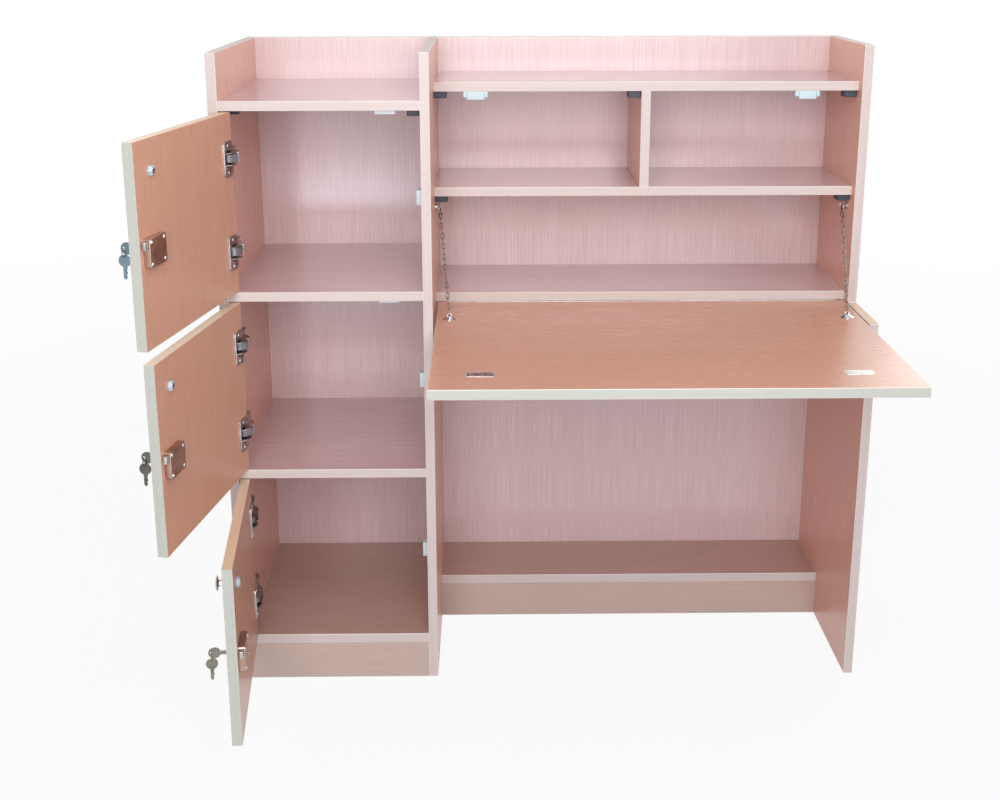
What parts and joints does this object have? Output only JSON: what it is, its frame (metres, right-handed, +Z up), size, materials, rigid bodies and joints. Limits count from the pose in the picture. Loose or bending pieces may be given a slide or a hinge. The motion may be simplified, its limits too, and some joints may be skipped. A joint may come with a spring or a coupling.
{
  "type": "study desk",
  "caption": "Study desk with a lockable locker column, a hutch with cubbies and a drop flap that hangs on chains as the writing surface.",
  "frame": {"origin": "centre of the foot of the middle panel, on the floor", "axes": "+X to the right as seen from the front, +Y to the wall, +Z up"},
  "size_m": [1.338, 0.7513, 1.265],
  "materials": {
    "edge_board": "pale beech laminate board with cream edge band",
    "back_board": "beech laminate back board",
    "door_board": "warm beech laminate board",
    "nickel_steel": "nickel plated steel",
    "chrome": "polished chrome",
    "dark_steel": "dark nickel plated steel",
    "white_plastic": "white plastic"
  },
  "bodies": {
    "carcass": {"left_side_panel": "edge_board", "middle_panel": "edge_board", "right_side_panel": "edge_board", "locker_back_panel": "back_board", "desk_back_panel": "back_board", "locker_top_shelf": "nickel_steel", "locker_upper_shelf": "nickel_steel", "locker_lower_shelf": "nickel_steel", "locker_bottom_shelf": "nickel_steel", "locker_kick_board": "nickel_steel", "hutch_top_shelf": "edge_board", "hutch_middle_shelf": "edge_board", "hutch_divider": "edge_board", "desk_shelf": "edge_board", "foot_shelf": "edge_board", "foot_rail": "edge_board", "flap_hinge_shelf_leaf": "nickel_steel", "wall_eye_left": "nickel_steel", "wall_eye_right": "nickel_steel", "hutch_catch_left": "white_plastic", "hutch_catch_right": "white_plastic", "door_1_hinge_arm_upper": "nickel_steel", "door_1_hinge_arm_lower": "nickel_steel", "door_2_hinge_arm_upper": "nickel_steel", "door_2_hinge_arm_lower": "nickel_steel", "door_3_hinge_arm_upper": "nickel_steel", "door_3_hinge_arm_lower": "nickel_steel"},
    "door_1_leaf": {"door_1": "door_board", "door_1_hinge_cup_upper": "nickel_steel", "door_1_hinge_cup_lower": "nickel_steel", "door_1_knob": "chrome", "door_1_lock_case": "nickel_steel"},
    "door_1_bolt": {"door_1_lock_bolt": "nickel_steel"},
    "door_1_key_set": {"door_1_key": "nickel_steel"},
    "door_1_spare": {"door_1_spare_key": "nickel_steel"},
    "door_2_leaf": {"door_2": "door_board", "door_2_hinge_cup_upper": "nickel_steel", "door_2_hinge_cup_lower": "nickel_steel", "door_2_knob": "chrome", "door_2_lock_case": "nickel_steel"},
    "door_2_bolt": {"door_2_lock_bolt": "nickel_steel"},
    "door_2_key_set": {"door_2_key": "nickel_steel"},
    "door_2_spare": {"door_2_spare_key": "nickel_steel"},
    "door_3_leaf": {"door_3": "door_board", "door_3_hinge_cup_upper": "nickel_steel", "door_3_hinge_cup_lower": "nickel_steel", "door_3_knob": "chrome", "door_3_lock_case": "nickel_steel"},
    "door_3_bolt": {"door_3_lock_bolt": "nickel_steel"},
    "door_3_key_set": {"door_3_key": "nickel_steel"},
    "door_3_spare": {"door_3_spare_key": "nickel_steel"},
    "flap": {"drop_flap": "door_board", "flap_hinge_flap_leaf": "nickel_steel", "flap_eye_left": "nickel_steel", "flap_eye_right": "nickel_steel"},
    "chain_left_upper": {"chain_left_upper_run": "dark_steel"},
    "chain_left_lower": {"chain_left_lower_run": "dark_steel"},
    "chain_right_upper": {"chain_right_upper_run": "dark_steel"},
    "chain_right_lower": {"chain_right_lower_run": "dark_steel"}
  },
  "joints": [
    {"name": "door_1_hinge", "type": "hinge", "parent": "carcass", "child": "door_1_leaf", "pos_m": [-0.369, -0.196, 0.989], "axis": [0, 0, 1], "range_deg": [-7.8, 102.2]},
    {"name": "door_1_bolt_slide", "type": "slide", "parent": "door_1_leaf", "child": "door_1_bolt", "axis": [-0.2113, -0.9774, 0], "range_m": [0, 0.009]},
    {"name": "door_1_key_turn", "type": "hinge", "parent": "door_1_leaf", "child": "door_1_key_set", "pos_m": [-0.43945, -0.50765, 0.98], "axis": [0.9774, -0.2113, 0], "range_deg": [0, 90]},
    {"name": "door_1_spare_key_swing", "type": "hinge", "parent": "door_1_key_set", "child": "door_1_spare", "pos_m": [-0.46951, -0.50115, 0.98], "axis": [0.9774, -0.2113, 0], "range_deg": [-10, 10]},
    {"name": "door_2_hinge", "type": "hinge", "parent": "carcass", "child": "door_2_leaf", "pos_m": [-0.369, -0.196, 0.629], "axis": [0, 0, 1], "range_deg": [-9.2, 100.8]},
    {"name": "door_2_bolt_slide", "type": "slide", "parent": "door_2_leaf", "child": "door_2_bolt", "axis": [-0.1874, -0.9823, 0], "range_m": [0, 0.009]},
    {"name": "door_2_key_turn", "type": "hinge", "parent": "door_2_leaf", "child": "door_2_key_set", "pos_m": [-0.43182, -0.50928, 0.62], "axis": [0.9823, -0.1874, 0], "range_deg": [0, 90]},
    {"name": "door_2_spare_key_swing", "type": "hinge", "parent": "door_2_key_set", "child": "door_2_spare", "pos_m": [-0.46202, -0.50352, 0.62], "axis": [0.9823, -0.1874, 0], "range_deg": [-10, 10]},
    {"name": "door_3_hinge", "type": "hinge", "parent": "carcass", "child": "door_3_leaf", "pos_m": [-0.369, -0.196, 0.269], "axis": [0, 0, 1], "range_deg": [-26.1, 83.9]},
    {"name": "door_3_bolt_slide", "type": "slide", "parent": "door_3_leaf", "child": "door_3_bolt", "axis": [0.1063, -0.9943, 0], "range_m": [0, 0.009]},
    {"name": "door_3_key_turn", "type": "hinge", "parent": "door_3_leaf", "child": "door_3_key_set", "pos_m": [-0.33803, -0.51401, 0.26], "axis": [0.9943, 0.1063, 0], "range_deg": [0, 90]},
    {"name": "door_3_spare_key_swing", "type": "hinge", "parent": "door_3_key_set", "child": "door_3_spare", "pos_m": [-0.36861, -0.51728, 0.26], "axis": [0.9943, 0.1063, 0], "range_deg": [-10, 10]},
    {"name": "flap_hinge", "type": "hinge", "parent": "carcass", "child": "flap", "pos_m": [0.4255, -0.035, 0.7486], "axis": [-1, 0, 0], "range_deg": [0, 90]},
    {"name": "chain_left_upper_swing", "type": "hinge", "parent": "carcass", "child": "chain_left_upper", "pos_m": [0.018, -0.003, 0.935], "axis": [1, 0, 0], "range_deg": [0, 60.5]},
    {"name": "chain_left_lower_swing", "type": "hinge", "parent": "flap", "child": "chain_left_lower", "pos_m": [0.039, -0.154, 0.761], "axis": [1, 0, 0], "range_deg": [-16.8, 0]},
    {"name": "chain_right_upper_swing", "type": "hinge", "parent": "carcass", "child": "chain_right_upper", "pos_m": [0.831, -0.003, 0.935], "axis": [1, 0, 0], "range_deg": [0, 60.5]},
    {"name": "chain_right_lower_swing", "type": "hinge", "parent": "flap", "child": "chain_right_lower", "pos_m": [0.81, -0.154, 0.761], "axis": [1, 0, 0], "range_deg": [-16.8, 0]}
  ],
  "couplings": [
    {"joint": "door_1_bolt_slide", "follows": "door_1_key_turn", "m_per_rad": 0.0054113},
    {"joint": "door_2_bolt_slide", "follows": "door_2_key_turn", "m_per_rad": 0.0054113},
    {"joint": "door_3_bolt_slide", "follows": "door_3_key_turn", "m_per_rad": 0.0054113},
    {"joint": "chain_left_upper_swing", "follows": "flap_hinge", "ratio": 0.67222},
    {"joint": "chain_left_lower_swing", "follows": "flap_hinge", "ratio": -0.18667},
    {"joint": "chain_right_upper_swing", "follows": "flap_hinge", "ratio": 0.67222},
    {"joint": "chain_right_lower_swing", "follows": "flap_hinge", "ratio": -0.18667}
  ]
}
